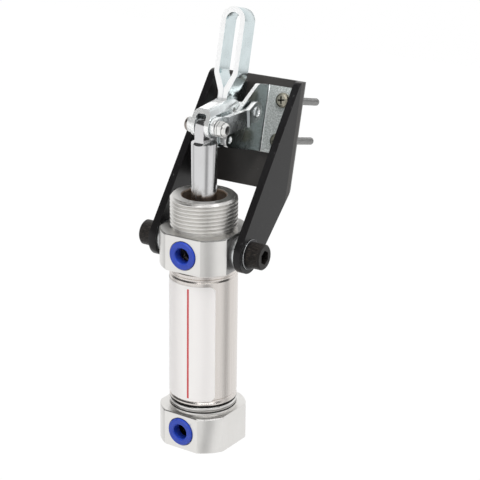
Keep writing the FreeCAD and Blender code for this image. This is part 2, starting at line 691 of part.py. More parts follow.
piston_end = PISTON_TOP - PISTON_H
seal_top = PISTON_TOP - 2.0
seal_end = seal_top - 3.0
wear_top = piston_end + 4.4
wear_end = piston_end + 1.6
piston = turned([
    (TAIL_R + FIT, piston_end), (BORE_R - 0.7, piston_end), (BORE_R - 0.3, piston_end + 0.4),
    (BORE_R - 0.3, wear_end), (BORE_R - 1.2, wear_end), (BORE_R - 1.2, wear_top),
    (BORE_R - 0.3, wear_top), (BORE_R - 0.3, seal_end), (BORE_R - 2.6, seal_end),
    (BORE_R - 2.6, seal_top), (BORE_R - 0.3, seal_top), (BORE_R - 0.3, PISTON_TOP - 0.4),
    (BORE_R - 0.7, PISTON_TOP), (TAIL_R + FIT, PISTON_TOP)])
save("piston", swung(piston))
save("piston_seal", swung(ring_z(BORE_R - 0.04, BORE_R - 2.6 + FIT, seal_end + 0.1, seal_top - 0.1,
                                 0.5)))
save("wear_ring", swung(ring_z(BORE_R - 0.08, BORE_R - 1.2 + FIT, wear_end + 0.05, wear_top - 0.05)))

nut = hexagon(PISTON_NUT_FLATS, PISTON_NUT_H)
nut = nut.cut(ring_z(TAIL_R + FIT, 0, -1, PISTON_NUT_H + 1))
nut.rotate(ZERO, X, 180)
nut.translate(vec(0, 0, piston_end))
save("piston_nut", swung(nut))


# Caps: turned blocks with four flats; the front one carries the threaded nose and the trunnions

def cap_block(top, bottom):
    half = CAP_FLATS / 2
    edge = 0.45
    block = Part.makeBox(2 * half, 2 * half, top - bottom, vec(-half, -half, bottom))
    drum = turned([(0, bottom), (CAP_R - edge, bottom), (CAP_R, bottom + edge),
                   (CAP_R, top - edge), (CAP_R - edge, top), (0, top)])
    block = block.common(drum)
    rims = edges_where(block, lambda e: len(e.Vertexes) == 2
                       and abs(e.Vertexes[0].Point.z - e.Vertexes[1].Point.z) < 0.01
                       and (abs(e.Vertexes[0].Point.x - e.Vertexes[1].Point.x) < 0.01
                            or abs(e.Vertexes[0].Point.y - e.Vertexes[1].Point.y) < 0.01))
    return block.makeChamfer(0.3, rims)


def port_cut(z):
    """Stepped hole of a push-in port, drilled from the -Y flat."""
    flat = -CAP_FLATS / 2
    sink = Part.makeCylinder(PORT_SINK_R, PORT_SINK + 1, vec(0, flat - 1, z), Y)
    bore = Part.makeCylinder(PORT_BORE_R, 7.5, vec(0, flat, z), Y)
    seat = Part.makeCylinder(TUBE_R, 8.2, vec(0, flat, z), Y)
    way = Part.makeCylinder(2.2, CAP_FLATS / 2, vec(0, flat, z), Y)
    return sink.fuse(bore).fuse(seat).fuse(way)


SEAL_RING_Z = 2.4        # depth of the seal groove in each spigot, from the spigot's end
ROLL_DEPTH = 0.45
FRONT_ROLL = BARREL_TOP - 2.0
REAR_ROLL = BARREL_END + 2.0
spigot_r = BORE_R - FIT


def make_front_cap():
    rim = FRONT_TOP + 0.8
    body = cap_block(FRONT_TOP, FRONT_BOTTOM)
    nose = turned([(0, FRONT_TOP - 1), (NOSE_R - 0.9, FRONT_TOP - 1), (NOSE_R - 0.9, rim),
                   (NOSE_R, rim + 0.6), (NOSE_R, NOSE_TOP - 0.9), (NOSE_R - 0.9, NOSE_TOP),
                   (0, NOSE_TOP)])
    groove = FRONT_SPIGOT_END + SEAL_RING_Z
    spigot = turned([
        (0, FRONT_BOTTOM + 1), (BARREL_R - 0.9, FRONT_BOTTOM + 1), (BARREL_R - 0.9, BARREL_TOP),
        (spigot_r, BARREL_TOP), (spigot_r, FRONT_ROLL + 0.9), (spigot_r - 0.6, FRONT_ROLL + 0.3),
        (spigot_r - 0.6, FRONT_ROLL - 0.3), (spigot_r, FRONT_ROLL - 0.9), (spigot_r, groove + 0.8),
        (spigot_r - 1.4, groove + 0.8), (spigot_r - 1.4, groove - 0.8), (spigot_r, groove - 0.8),
        (spigot_r, FRONT_SPIGOT_END + 0.4), (spigot_r - 0.4, FRONT_SPIGOT_END),
        (0, FRONT_SPIGOT_END)])
    body = body.fuse(nose).fuse(spigot).removeSplitter()
    chamber = turned([
        (0, FRONT_SPIGOT_END - 1), (BUSH_R - 0.5, FRONT_SPIGOT_END - 1), (BUSH_R - 0.5, BUSH_END - 0.1),
        (BUSH_R, BUSH_END - 0.1), (BUSH_R, SEAL_FLOOR), (NOSE_BORE_R, SEAL_FLOOR),
        (NOSE_BORE_R, NOSE_TOP - 0.5), (NOSE_BORE_R + 0.7, NOSE_TOP + 0.2), (0, NOSE_TOP + 0.2)])
    body = body.cut(chamber).cut(port_cut(0))
    for side in (-1, 1):
        hole = pin_x(TRUNNION_R + FIT, TRUNNION_DEPTH - 0.2, 20)
        body = body.cut(hole if side == 1 else mirrored(hole))
    return body


save("front_cap", swung(make_front_cap()))


def make_rear_cap():
    body = cap_block(REAR_TOP, REAR_BOTTOM)
    groove = REAR_SPIGOT_END - SEAL_RING_Z
    spigot = turned([
        (0, REAR_TOP - 1), (BARREL_R, REAR_TOP - 1), (BARREL_R, REAR_TOP + 0.9),
        (BARREL_R - 0.5, REAR_TOP + 0.9), (BARREL_R - 0.5, REAR_TOP + 1.3),
        (BARREL_R, REAR_TOP + 1.5), (BARREL_R, BARREL_END - 0.9), (BARREL_R - 0.3, BARREL_END - 0.5),
        (BARREL_R - 0.9, BARREL_END - 0.5), (BARREL_R - 0.9, BARREL_END),
        (spigot_r, BARREL_END), (spigot_r, REAR_ROLL - 0.9), (spigot_r - 0.6, REAR_ROLL - 0.3),
        (spigot_r - 0.6, REAR_ROLL + 0.3), (spigot_r, REAR_ROLL + 0.9), (spigot_r, groove - 0.8),
        (spigot_r - 1.4, groove - 0.8), (spigot_r - 1.4, groove + 0.8), (spigot_r, groove + 0.8),
        (spigot_r, REAR_SPIGOT_END - 0.4), (spigot_r - 0.4, REAR_SPIGOT_END),
        (0, REAR_SPIGOT_END)])
    body = body.fuse(spigot).removeSplitter()
    floor = REAR_TOP - 2
    body = body.cut(Part.makeCylinder(REAR_CHAMBER_R, REAR_SPIGOT_END + 1 - floor, vec(0, 0, floor)))
    body = body.cut(Part.makeCylinder(4.0, 40, vec(0, 0, REAR_PORT_Z)))
    body = body.cut(port_cut(REAR_PORT_Z))
    dimple = turned([(0, REAR_BOTTOM - 1), (2.4, REAR_BOTTOM - 1), (2.4, REAR_BOTTOM),
                     (0, REAR_BOTTOM + 1.6)])
    return body.cut(dimple)


save("rear_cap", swung(turned_back(make_rear_cap())))


# Barrel: thin stainless tube, rolled into a groove of each cap

def make_barrel():
    profile = [(BORE_R, BARREL_END), (BARREL_R, BARREL_END)]
    for z in (REAR_ROLL, FRONT_ROLL):
        profile += [(BARREL_R, z - 0.9), (BARREL_R - ROLL_DEPTH, z - 0.3),
                    (BARREL_R - ROLL_DEPTH, z + 0.3), (BARREL_R, z + 0.9)]
    profile += [(BARREL_R, BARREL_TOP), (BORE_R, BARREL_TOP)]
    for z in (FRONT_ROLL, REAR_ROLL):
        profile += [(BORE_R, z + 0.9), (BORE_R - ROLL_DEPTH, z + 0.3),
                    (BORE_R - ROLL_DEPTH, z - 0.3), (BORE_R, z - 0.9)]
    return turned(profile)


save("barrel", swung(make_barrel()))

front_ring_z = FRONT_SPIGOT_END + SEAL_RING_Z
rear_ring_z = REAR_SPIGOT_END - SEAL_RING_Z
ring = ring_z(BORE_R - 0.01, spigot_r - 1.4 + 0.01, -0.65, 0.65, 0.35)
for name, height in (("front_cap_seal", front_ring_z), ("rear_cap_seal", rear_ring_z)):
    placed_ring = ring.copy()
    placed_ring.translate(vec(0, 0, height))
    save(name, swung(placed_ring))

save("rod_bush", swung(ring_z(BUSH_R - FIT, ROD_R + RUN, BUSH_END, BUSH_TOP)))
rod_seal = turned([
    (ROD_R + RUN, SEAL_FLOOR + RUN), (NOSE_BORE_R - FIT, SEAL_FLOOR + RUN),
    (NOSE_BORE_R - FIT, NOSE_FLOOR - 0.5),
    (NOSE_BORE_R - 0.5, NOSE_FLOOR), (ROD_R + 1.6, NOSE_FLOOR), (ROD_R + 1.2, NOSE_FLOOR - 0.7),
    (ROD_R + 0.5, NOSE_FLOOR + 0.3), (ROD_R + RUN, NOSE_FLOOR + 0.3)])
save("rod_seal", swung(rod_seal))
save("front_bumper", swung(ring_z(BUMPER_R, BUSH_R + 0.2, FRONT_SPIGOT_END - BUMPER_H, FRONT_SPIGOT_END,
                                  0.3)))
save("rear_bumper", swung(ring_z(BUMPER_R, REAR_CHAMBER_R + 0.6, REAR_SPIGOT_END,
                                 REAR_SPIGOT_END + BUMPER_H, 0.3)))


# Push-in ports: release ring, grip ring and tube seal, drawn along +Y from the cap's flat

def ring_y(r, bore, depth0, depth1, edge=0.0):
    piece = ring_z(r, bore, depth0, depth1, edge)
    piece.rotate(ZERO, X, -90)
    piece.translate(vec(0, -CAP_FLATS / 2, 0))
    return piece


def make_collar():
    flange_end = PORT_SINK - COLLAR_PROUD - 0.4
    body = turned([
        (TUBE_R, -COLLAR_PROUD + 0.4), (TUBE_R + 0.4, -COLLAR_PROUD), (COLLAR_R - 0.4, -COLLAR_PROUD),
        (COLLAR_R, -COLLAR_PROUD + 0.4), (COLLAR_R, flange_end), (SLEEVE_R, flange_end),
        (SLEEVE_R, PORT_SINK + 1.0), (TUBE_R, PORT_SINK + 1.0)])
    body.rotate(ZERO, X, -90)
    body.translate(vec(0, -CAP_FLATS / 2, 0))
    return body


def make_grip():
    body = ring_y(PORT_BORE_R - FIT, TUBE_R, PORT_SINK + 2.1, PORT_SINK + 3.3)
    for k in range(4):
        slit = Part.makeBox(0.5, 20, PORT_BORE_R - 0.5, vec(-0.25, -CAP_FLATS / 2, 0))
        slit.rotate(ZERO, Y, 45 + 90 * k)
        body = body.cut(slit)
    return body


collar = make_collar()
grip = make_grip()
tube_seal = ring_y(PORT_BORE_R - FIT, TUBE_R, PORT_SINK + 3.4, PORT_SINK + 5.1, 0.3)
for name, piece in (("collar", collar), ("grip", grip), ("tube_seal", tube_seal)):
    save("front_" + name, swung(piece))
    rear = piece.copy()
    rear.translate(vec(0, 0, REAR_PORT_Z))
    save("rear_" + name, swung(turned_back(rear)))


# Trunnion: on each side a socket-head screw, a washer outside the arm and a spacer inside

washer_inner = ARM_OUTSIDE + SIDE_GAP
washer_outer = washer_inner + WASHER_SHEET


def make_trunnion_screw():
    head = turned([(0, 0), (TRUNNION_HEAD_R, 0), (TRUNNION_HEAD_R, TRUNNION_HEAD_H - 0.5),
                   (TRUNNION_HEAD_R - 0.5, TRUNNION_HEAD_H), (0, TRUNNION_HEAD_H)])
    socket = hexagon(5.0, 3.2)
    socket.rotate(ZERO, X, 180)
    socket.translate(vec(0, 0, TRUNNION_HEAD_H))
    head = head.cut(socket)
    tip = TRUNNION_DEPTH - washer_outer
    shank = turned([(0, tip), (TRUNNION_R - 0.5, tip), (TRUNNION_R, tip + 0.5), (TRUNNION_R, 0.5),
                    (0, 0.5)])
    return along_x(head.fuse(shank).removeSplitter(), 1, washer_outer, (0, 0))


screw = make_trunnion_screw()
save("trunnion_screw_right", swung(screw))
save("trunnion_screw_left", swung(mirrored(screw)))
washer = ring_x(WASHER_R, TRUNNION_R + FIT, washer_inner, washer_outer)
save("trunnion_washers", swung(Part.makeCompound([washer, mirrored(washer)])))
spacer = ring_x(SPACER_R, TRUNNION_R + FIT, CAP_FLATS / 2, ARM_INSIDE - SIDE_GAP)
save("trunnion_spacers", swung(Part.makeCompound([spacer, mirrored(spacer)])))


# Label: thin foil round the barrel, facing the ports' side

LABEL_TOP = BARREL_TOP - 4.2
LABEL_END = BARREL_END + 2.3
LABEL_FROM = -76.0       # degrees from the -Y side towards +X
LABEL_TO = 52.0


def make_label():
    sheet = ring_z(BARREL_R + 0.1, BARREL_R, LABEL_END, LABEL_TOP)
    points = [vec(0, 0, LABEL_END)]
    steps = 8
    for k in range(steps + 1):
        angle = radians(LABEL_FROM + (LABEL_TO - LABEL_FROM) * k / steps)
        points.append(vec(30 * sin(angle), -30 * cos(angle), LABEL_END))
    points.append(points[0])
    wedge = Part.Face(Part.makePolygon(points)).extrude(vec(0, 0, LABEL_TOP - LABEL_END))
    return sheet.common(wedge)


save("label", swung(make_label()))
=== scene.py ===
# %% [markdown]
# This lesson dresses a small pneumatic toggle clamp on a folded bracket. The CAD model has already
# given every piece its shape and its place, so nothing is moved here. The pieces get their surfaces,
# the cylinder's nose gets its fine thread, and then come the floor, the light and the camera.
# Lengths are in metres, and a value in millimetres is multiplied by MM.

# %% Load the model
import json
from math import atan2, cos, degrees, pi, radians, sin

import bpy
from mathutils import Matrix, Vector


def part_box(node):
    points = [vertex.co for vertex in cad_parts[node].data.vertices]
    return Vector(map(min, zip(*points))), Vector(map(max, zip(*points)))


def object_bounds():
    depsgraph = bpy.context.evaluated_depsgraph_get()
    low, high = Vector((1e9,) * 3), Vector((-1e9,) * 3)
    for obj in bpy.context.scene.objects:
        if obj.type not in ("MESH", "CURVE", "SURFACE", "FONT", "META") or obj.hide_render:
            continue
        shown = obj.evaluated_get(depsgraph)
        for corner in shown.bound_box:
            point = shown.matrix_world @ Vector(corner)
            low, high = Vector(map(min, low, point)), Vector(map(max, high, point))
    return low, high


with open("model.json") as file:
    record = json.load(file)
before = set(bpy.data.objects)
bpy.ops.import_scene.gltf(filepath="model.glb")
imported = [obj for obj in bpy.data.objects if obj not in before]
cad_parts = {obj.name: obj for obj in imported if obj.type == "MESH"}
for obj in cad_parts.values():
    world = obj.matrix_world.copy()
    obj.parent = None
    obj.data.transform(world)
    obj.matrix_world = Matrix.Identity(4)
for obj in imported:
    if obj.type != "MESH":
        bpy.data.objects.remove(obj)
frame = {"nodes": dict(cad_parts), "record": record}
first_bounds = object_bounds()
nodes = frame["nodes"]
MM = 0.001
print("loaded", len(nodes), "nodes")

# %% [markdown]
# The cylinder hangs between two trunnion screws and leans a little. Its turning marks, its label and
# the old oil in its grooves lie along the rod or round it, not along the floor. Each finish could
# turn its own coordinates. It is simpler to state the trunnion's place and the lean once, as the
# drawing gives them, and to let every finish start from there.

# %% Where the cylinder hangs
TRUNNION = Vector((0, -28.3, -50.7)) * MM
SWING = atan2(11.7, 46.0)
UP_ROD = Matrix.Rotation(SWING, 4, "X")
print("the rod leans by", round(degrees(SWING), 2), "degrees")

# %% [markdown]
# Every surface below is a small formula of place, noise and steps. The nodes could be made and linked
# one by one, as with the mouse, but then a sum of three terms takes ten lines. Here one method adds
# any node. It takes the node's kind, its settings, and a constant or a link for each socket. The
# settings are made first, because some of them change which sockets the node has.

# %% Node trees


class Nodes:
    """A node tree to which every new node is added by one method."""

    def __init__(self, tree):
        self.tree = tree

    def add(self, kind, sockets, output=0, **settings):
        """Add a node and give back one of its outputs, or all of them where output is None."""
        made = self.tree.nodes.new("ShaderNode" + kind)
        for name, value in settings.items():
            setattr(made, name, value)
        for name, value in sockets.items():
            self.plug(value, made.inputs[name])
        if output is None:
            return [Value(self, out) for out in made.outputs]
        return Value(self, made.outputs[output])

    def plug(self, value, socket):
        """Link a value to a socket, or write a constant into it."""
        if isinstance(value, Value):
            self.tree.links.new(value.out, socket)
        elif socket.type == "RGBA":
            socket.default_value = (*value, 1.0)
        else:
            socket.default_value = value


print("Nodes has the methods", ", ".join(name for name in vars(Nodes) if "_" not in name))

# %% [markdown]
# A Value stands for one output of a node. Sums, products and comparisons of values add the Math nodes,
# so a formula reads as it would on paper, also where the number comes first, as in 1 - mask. Colours
# go through a Mix node, because a Math node would turn them grey. A step with a soft edge is a Map
# Range node, and it may run downwards, from a high limit to a low one.

# %% Values in formulas


class Value:
    """One output of a node, used in formulas like a number."""

    def __init__(self, nodes, out):
        self.nodes = nodes
        self.out = out

    def math(self, operation, *values):
        return self.nodes.add("Math", dict(enumerate(values)), operation=operation)

    def __add__(self, other):
        return self.math("ADD", self, other)

    def __radd__(self, other):
        return self.math("ADD", other, self)

    def __sub__(self, other):
        return self.math("SUBTRACT", self, other)

    def __rsub__(self, other):
        return self.math("SUBTRACT", other, self)

    def __mul__(self, other):
        return self.math("MULTIPLY", self, other)

    def __rmul__(self, other):
        return self.math("MULTIPLY", other, self)

    def __gt__(self, other):
        return self.math("GREATER_THAN", self, other)

    def __lt__(self, other):
        return self.math("LESS_THAN", self, other)

    def __abs__(self):
        return self.math("ABSOLUTE", self)

    def larger(self, other):
        return self.math("MAXIMUM", self, other)

    def smaller(self, other):
        return self.math("MINIMUM", self, other)

    def angle(self, other):
        """The angle whose tangent is this value over the other one, all the way round."""
        return self.math("ARCTAN2", self, other)

    def between(self, low, high):
        """1 between low and high, 0 elsewhere."""
        return (self > low) * (self < high)

    def step(self, low, high):
        """0 at low and before it, 1 at high and past it, smooth between."""
        return self.nodes.add("MapRange", {"Value": self, "From Min": low, "From Max": high},
                              interpolation_type="SMOOTHSTEP")

    def mix(self, none, full):
        """The colour none where this value is 0, and the colour full where it is 1."""
        return self.nodes.add("Mix", {0: self, 6: none, 7: full}, 2, data_type="RGBA")

    def split(self):
        """The X, Y and Z of a vector."""
        return self.nodes.add("SeparateXYZ", {0: self}, None)

    def stretched(self, x, y, z):
        """A vector with its three parts multiplied."""
        return self.nodes.add("VectorMath", {0: self, 1: (x, y, z)}, operation="MULTIPLY")

    def noise(self, scale, detail=3.0, rough=0.55):
        """Soft cloudy noise from 0 to 1 at this place."""
        return self.nodes.add("TexNoise", {"Vector": self, "Scale": scale, "Detail": detail,
                                           "Roughness": rough})


print("Value has the methods", ", ".join(name for name in vars(Value) if "_" not in name))

# %% [markdown]
# A Finish is one new material. It could use UV coordinates, but every piece would have to be unwrapped
# for them. Object coordinates need no unwrapping, and they stay with the piece when it moves, so no
# pattern slides in a pose. place is measured in the clamp's frame. along is the same place seen from
# the cylinder, with the trunnion at its centre and Z up the rod. facing is the direction in which the
# surface looks, and tells broad faces of sheet metal from cut edges.

# %% A finish


class Finish:
    """A new material with its coordinates and its shader."""

    def __init__(self, name):
        self.material = bpy.data.materials.new(name)
        self.material.use_nodes = True
        self.nodes = Nodes(self.material.node_tree)
        self.shader = self.material.node_tree.nodes["Principled BSDF"]
        self.place = self.nodes.add("TexCoord", {}, "Object")
        self.facing = self.nodes.add("TexCoord", {}, "Normal")
        from_trunnion = self.nodes.add("VectorMath", {0: self.place, 1: tuple(TRUNNION)},
                                       operation="SUBTRACT")
        self.along = self.nodes.add("VectorRotate", {"Vector": from_trunnion, "Angle": -SWING},
                                    rotation_type="X_AXIS")

    def join(self, x, y, z):
        return self.nodes.add("CombineXYZ", {0: x, 1: y, 2: z})

    def bump(self, height, depth, strength):
        """Surface relief: height runs from 0 to 1, and depth is in metres."""
        return self.nodes.add("Bump", {"Height": height, "Distance": depth, "Strength": strength})

    def set(self, colour, roughness, metallic, normal, specular=0.5, alpha=1.0):
        """Fill the shader's sockets and give back the material."""
        looks = {"Base Color": colour, "Roughness": roughness, "Metallic": metallic, "Normal": normal,
                 "Specular IOR Level": specular, "Alpha": alpha}
        for name, value in looks.items():
            self.nodes.plug(value, self.shader.inputs[name])
        print("made", self.material.name, "with", len(self.nodes.tree.nodes), "nodes")
        return self.material


SLOT_FINISH = {}
NODE_FINISH = {}
print("finishes are kept by slot, and by node where a piece has one of its own")

# %% [markdown]
# The bracket and its two arms are painted satin black. Such paint has a very fine orange peel, a few
# specks of dust and slightly rubbed places, and the plate at the back looks greyer than the arms. An
# image could be painted for it, but noise needs no image, repeats nowhere and stays sharp close up.
# The peel goes through a Bump node, because it is far too shallow to change the outline.

# %% Black paint
PLATE_FROM = -6.0 * MM
PEEL_DEPTH = 0.02 * MM


def black_paint():
    f = Finish("black_paint")
    y = f.place.split()[1]
    peel = f.place.noise(2600.0, 2.0)
    cloud = f.place.noise(70.0, 4.0)
    dust = f.place.noise(900.0, 1.0).step(0.70, 0.78)
    colour = cloud.mix((0.0055, 0.0052, 0.0055), (0.010, 0.0095, 0.010))
    colour = ((y > PLATE_FROM) * 0.6).mix(colour, (0.068, 0.064, 0.060))
    colour = (dust * 0.5).mix(colour, (0.09, 0.09, 0.09))
    roughness = 0.26 + cloud * 0.12 + dust * 0.2
    return f.set(colour, roughness, 0.0, f.bump(peel, PEEL_DEPTH, 0.6), specular=0.25)


SLOT_FINISH["black_paint"] = black_paint()

# %% [markdown]
# Webs, links, yoke and clamp arm are sheet steel with zinc plating, a light bluish grey metal. The
# rolled sheet under it shows as long faint streaks, and handling leaves duller clouds. Where the
# sheet was cut, its edge is whiter and less of a mirror than the broad sides. Each edge could be
# painted by hand. But the sheets stand upright with their broad sides facing along X, so one mask by
# the surface's direction finds the edges of all of them at once.

# %% Zinc plate
PLATING_DEPTH = 0.01 * MM


class Zinc(Finish):
    """Zinc plate with streaks, clouds and whiter edges, ready for a piece's own touches."""

    def __init__(self, name):
        super().__init__(name)
        self.streaks = self.place.stretched(260.0, 2600.0, 260.0).noise(1.0, 4.0, 0.65)
        self.worn = self.place.noise(160.0, 4.0, 0.6).step(0.42, 0.68)
        self.sideways = abs(self.facing.split()[0])
        edge = self.sideways.step(0.60, 0.30)
        side = (self.worn * 0.6).mix((0.80, 0.84, 0.85), (0.57, 0.605, 0.61))
        self.colour = (edge * 0.85).mix(side, (0.94, 0.945, 0.935))
        self.roughness = 0.21 + self.worn * 0.10 + (self.streaks - 0.5) * 0.14
        self.metal = 1.0 - edge * 0.32
        self.height = self.streaks

    def plated(self):
        relief = self.bump(self.height, PLATING_DEPTH, 0.5)
        return self.set(self.colour, self.roughness, self.metal, relief)


SLOT_FINISH["zinc_plate"] = Zinc("zinc_plate").plated()

# %% [markdown]
# Each link is bent twice, beside the bolt and beside its eye. On the real clamp the slanted stretch of
# a bend is no brighter than the rest, but polished metal at that angle would mirror the brightest part
# of the studio. The light could be moved, and then every other piece would change. So only the
# slanted faces, found by their direction, are made darker.

# %% Links


def link_zinc():
    f = Zinc("link_zinc")
    slanted = f.sideways.step(0.45, 0.60) * f.sideways.step(0.88, 0.80)
    f.colour = (slanted * 0.8).mix(f.colour, (0.22, 0.24, 0.25))
    return f.plated()


NODE_FINISH["link_right"] = NODE_FINISH["link_left"] = link_zinc()

# %% [markdown]
# The clamp arm is one strip folded like a hairpin. Its broad faces are bluish, and its narrow edges,
# which point along Y, are nearly white. It could be a finish of its own from the start. It begins with
# the zinc of the other sheets instead, so that streaks and clouds match, and only its colour,
# roughness and metal follow the strip's own edges.

# %% Clamp arm


def arm_zinc():
    f = Zinc("arm_zinc")
    edge = abs(f.facing.split()[1]).step(0.70, 0.92)
    broad = (f.worn * 0.3).mix((0.66, 0.74, 0.755), (0.54, 0.61, 0.62))
    f.colour = edge.mix(broad, (0.95, 0.955, 0.955))
    f.roughness = 0.22 + f.worn * 0.05 + (f.streaks - 0.5) * 0.10 + edge * 0.10
    f.metal = 1.0 - edge * 0.3
    return f.plated()


NODE_FINISH["clamp_arm"] = arm_zinc()

# %% [markdown]
# The two webs stand out from the plate, and each has a flange that is bent outwards and screwed down.
# The flange is grainy and pale, while the upright side mirrors the dark arms; that reflection is
# painted into its colour as a darker shade. The flange could be a second material on its faces, but
# the CAD mesh stays as it is, so one material changes by place where the bend begins. It darkens the
# broad sides with this painted reflection and speckles the flange.

# %% Webs
BEND_FROM, BEND_TO = 5.8 * MM, 6.8 * MM


def web_zinc():
    f = Zinc("web_zinc")
    flange = abs(f.place.split()[0]).step(BEND_FROM, BEND_TO)
    upright = f.sideways.step(0.6, 0.8)
    # painted reflection: the upright sides take a darker shade for the dark arms they mirror, clouded by
    # wear
    shade = (f.worn * 0.7).mix((0.33, 0.375, 0.38), (0.24, 0.27, 0.275))
    grain = f.place.noise(1500.0, 3.0, 0.7)
    speckles = grain.step(0.40, 0.62).mix((0.46, 0.49, 0.475), (0.80, 0.83, 0.82))
    f.colour = flange.mix(upright.mix(f.colour, shade), speckles)
    f.roughness = f.roughness + flange * 0.24
    f.height = f.streaks + flange * grain * 3.0
    f.metal = f.metal.smaller(1.0 - flange * 0.45)
    return f.plated()


NODE_FINISH["web_right"] = NODE_FINISH["web_left"] = web_zinc()

# %% [markdown]
# The lock nut is bright too. Thin dark lines of painted shade mark its steps, and its bore is painted
# black as shade. Lines this thin could be grooves in the mesh. Colour by place is enough at this
# size, and it keeps the nut as light as the CAD made it.

# %% Lock nut
BOLT_Y, BOLT_Z = -40.0 * MM, -4.7 * MM
NUT_SHADE_LINES = ((6.00 * MM, 6.30 * MM), (6.85 * MM, 7.10 * MM), (8.80 * MM, 9.05 * MM))
NUT_BORE = 1.72 * MM


def nut_zinc():
    f = Finish("nut_zinc")
    x, y, z = f.place.split()
    cloud = f.place.noise(500.0)
    across, upward = y - BOLT_Y, z - BOLT_Z
    # painted shade: the bore and the lines at the nut's steps are coloured near black
    painted_shade = across * across + upward * upward < NUT_BORE * NUT_BORE
    for low, high in NUT_SHADE_LINES:
        painted_shade = painted_shade.larger(x.between(low, high))
    bright = cloud.mix((0.80, 0.80, 0.78), (0.93, 0.93, 0.91))
    colour = (painted_shade * 0.9).mix(bright, (0.03, 0.03, 0.03))
    return f.set(colour, 0.24 + cloud * 0.10, 0.85 - painted_shade * 0.7, f.bump(cloud, PLATING_DEPTH, 0.5))


NODE_FINISH["link_nut"] = nut_zinc()

# %% [markdown]
# The bolt through the links is plain brownish steel. Its end sits deep in the nut, where no light
# reaches, and is nearly black. The end could have a second material on its faces. It lies where X is
# above 0, so one comparison parts it from the head, and the mesh stays whole.

# %% Bolt through the links


def bolt_steel():
    f = Finish("bolt_steel")
    end = f.place.split()[0] > 0.0
    cloud = f.place.noise(500.0)
    steel = cloud.mix((0.26, 0.22, 0.20), (0.40, 0.36, 0.33))
    colour = end.mix(steel, (0.02, 0.02, 0.02))
    roughness = 0.28 + cloud * 0.14 + end * 0.3
    return f.set(colour, roughness, 1.0 - end, f.bump(cloud, PLATING_DEPTH, 0.5), specular=0.2)


NODE_FINISH["link_bolt"] = bolt_steel()

# %% [markdown]
# Four pan-head screws hold the webs on the plate, and their ends stand out behind it. The heads are
# yellowish, with their cross recess painted dark as shade, and the threaded ends are plain grey. A
# real thread of half a millimetre pitch would cost thousands of faces for a few pixels. Here the
# distance along the screw is divided by the pitch, and its fraction gives ridges of relief and, between
# them, dark lines of painted shade.

# %% Flange screws
SCREW_X, SCREW_Z = 13.0 * MM, 8.0 * MM
SCREW_RECESS = 1.7 * MM
SCREW_SINK = 0.35 * MM
SCREW_PITCH = 0.5 * MM
SCREW_END_FROM = -4.0 * MM


def screw_metal():
    f = Finish("screw_metal")
    x, y, z = f.place.split()
    turns = y * (1.0 / SCREW_PITCH)
    ridge = abs(turns.math("FRACT", turns) - 0.5) * 2.0
    end = y > SCREW_END_FROM
    cloud = f.place.noise(400.0)
    across, upward = abs(x) - SCREW_X, abs(z) - SCREW_Z
    near_axis = across * across + upward * upward < SCREW_RECESS * SCREW_RECESS
    # painted shade in the cross recess
    recess_shade = near_axis * (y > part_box("flange_screws")[0][1] + SCREW_SINK) * (1.0 - end)
    colour = cloud.mix((0.42, 0.39, 0.30), (0.60, 0.57, 0.48))
    colour = (recess_shade * 0.93).mix(colour, (0.02, 0.018, 0.012))
    colour = (end * 0.9).mix(colour, (0.36, 0.36, 0.355))
    # painted shade in the thread's roots, between the ridges
    colour = (end * (1.0 - ridge) * 0.75).mix(colour, (0.12, 0.12, 0.13))
    height = ridge * end + (1.0 - end) * cloud * 0.1
    return f.set(colour, 0.26 + cloud * 0.16, 1.0, f.bump(height, 0.25 * MM, 0.8))


NODE_FINISH["flange_screws"] = screw_metal()

# %% [markdown]
# Where the barrel meets the caps there are narrow grooves, and shade is painted black into them.
# Shadow alone would leave them grey, because polished walls throw light into them. A dark ring of
# colour at each groove's place along the rod is this painted shade. The rings differ only in place
# and darkness, so one small table lists them.

# %% Painted shade in the grooves
# lowest and highest place along the rod in mm, and how dark the painted shade is there
GROOVE_SHADES = ((-8.6, -7.42, 0.9), (-63.9, -63.2, 0.97), (-65.3, -64.7, 0.55), (-66.2, -65.6, 0.85))
NECK_RADIUS = 13.4 * MM


def shade_grooves(colour, z, radius):
    """The colour with painted shade in the grooves next to the barrel."""
    # painted shade: a dark ring at each groove's place
    for low, high, painted_shade in GROOVE_SHADES:
        groove = z.between(low * MM, high * MM) * (radius < NECK_RADIUS)
        colour = (groove * painted_shade).mix(colour, (0.035, 0.033, 0.03))
    return colour


# the dark rings in the grooves are painted shade
print("oil darkens", len(GROOVE_SHADES), "grooves")

# %% [markdown]
# Both caps are aluminium. Their round parts and ends carry turning rings about the cylinder's axis,
# and their flats a fine brushed grain. Old grease browns the nose's bore. The flats beside the arms
# are painted dark, a painted reflection of the black arms a few millimetres away. The front cap's
# upper rim is rougher, and its colour is painted darker as shade. Rings and grain could be two
# materials, but a mask by distance from the axis joins them in one, and noise in rings costs less than
# a mesh with rings.

# %% Aluminium caps
CAP_FLAT = 15.05 * MM
CAP_SIDE, CAP_SIDE_END = 15.15 * MM, -20.0 * MM
CAP_RIM, CAP_RIM_FROM_AXIS = (7.03 * MM, 7.49 * MM), 14.5 * MM
NOSE_BORE, NOSE_GREASE = (9.4 * MM, 8.6 * MM), (8.8 * MM, 10.0 * MM)


